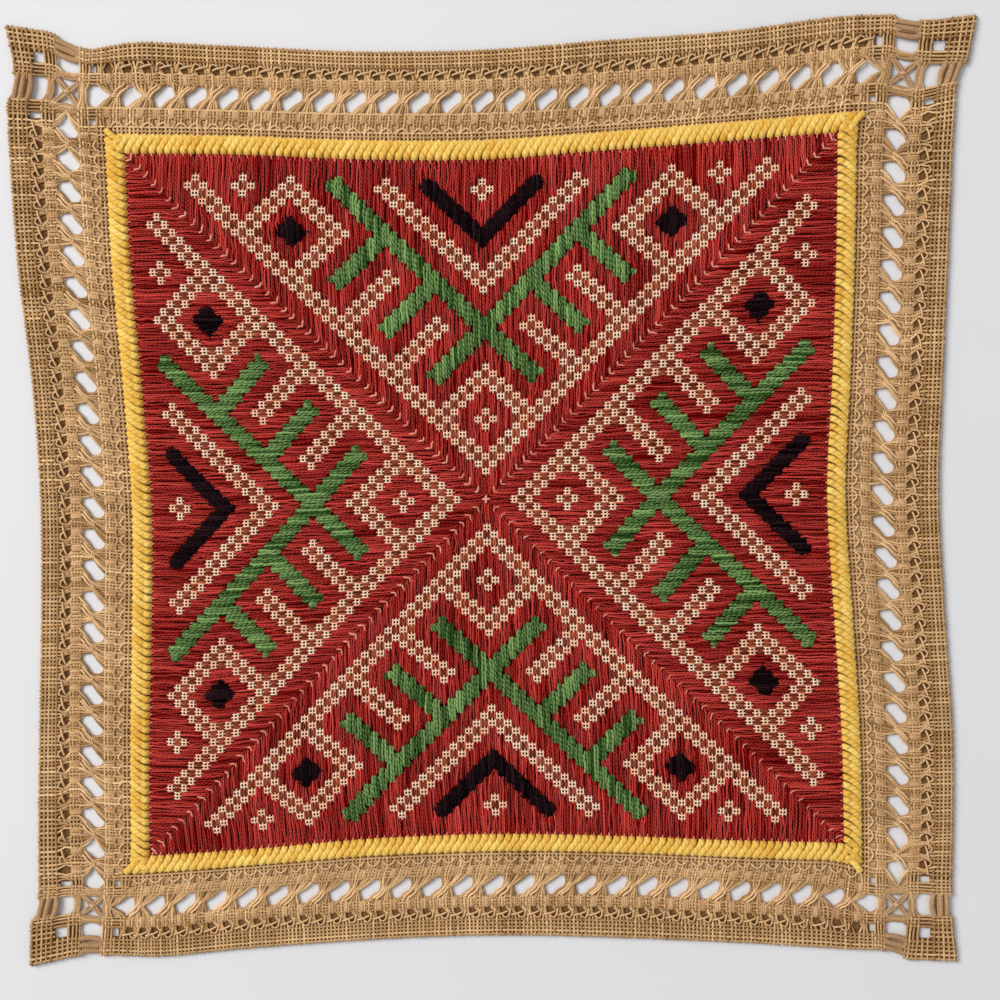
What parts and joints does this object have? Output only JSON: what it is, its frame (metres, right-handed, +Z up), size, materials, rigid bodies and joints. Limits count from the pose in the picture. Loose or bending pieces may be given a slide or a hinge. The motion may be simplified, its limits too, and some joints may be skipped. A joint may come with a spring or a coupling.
{
  "type": "woven table square",
  "caption": "Square cloth mat with a folded hem, a drawn-thread border of round holes, wrapped corner bars, a yellow plaited line and a pattern-darned wool field.",
  "frame": {"origin": "middle of the cloth's box, on its underside", "axes": "+Z up out of the worked face, +Y towards the mat's top side in the picture, +X to its right"},
  "size_m": [0.2654, 0.263, 0.0028],
  "materials": {
    "ground_cloth": "tan plain-weave linen or cotton, matt",
    "yellow_wool": "yellow wool yarn, plaited stitches",
    "red_wool": "dark red wool yarn, darned floats",
    "green_wool": "green wool yarn, slightly fuzzy",
    "black_wool": "black wool yarn, slightly fuzzy"
  },
  "bodies": {
    "root": {"ground_cloth": "ground_cloth", "yellow_border": "yellow_wool", "red_field_top": "red_wool", "red_field_right": "red_wool", "red_field_bottom": "red_wool", "red_field_left": "red_wool", "green_branches_top": "green_wool", "green_branches_right": "green_wool", "green_branches_bottom": "green_wool", "green_branches_left": "green_wool", "black_chevron_top": "black_wool", "black_chevron_right": "black_wool", "black_chevron_bottom": "black_wool", "black_chevron_left": "black_wool", "black_eye_top_a": "black_wool", "black_eye_top_b": "black_wool", "black_eye_right_a": "black_wool", "black_eye_right_b": "black_wool", "black_eye_bottom_a": "black_wool", "black_eye_bottom_b": "black_wool", "black_eye_left_a": "black_wool", "black_eye_left_b": "black_wool"}
  },
  "joints": []
}
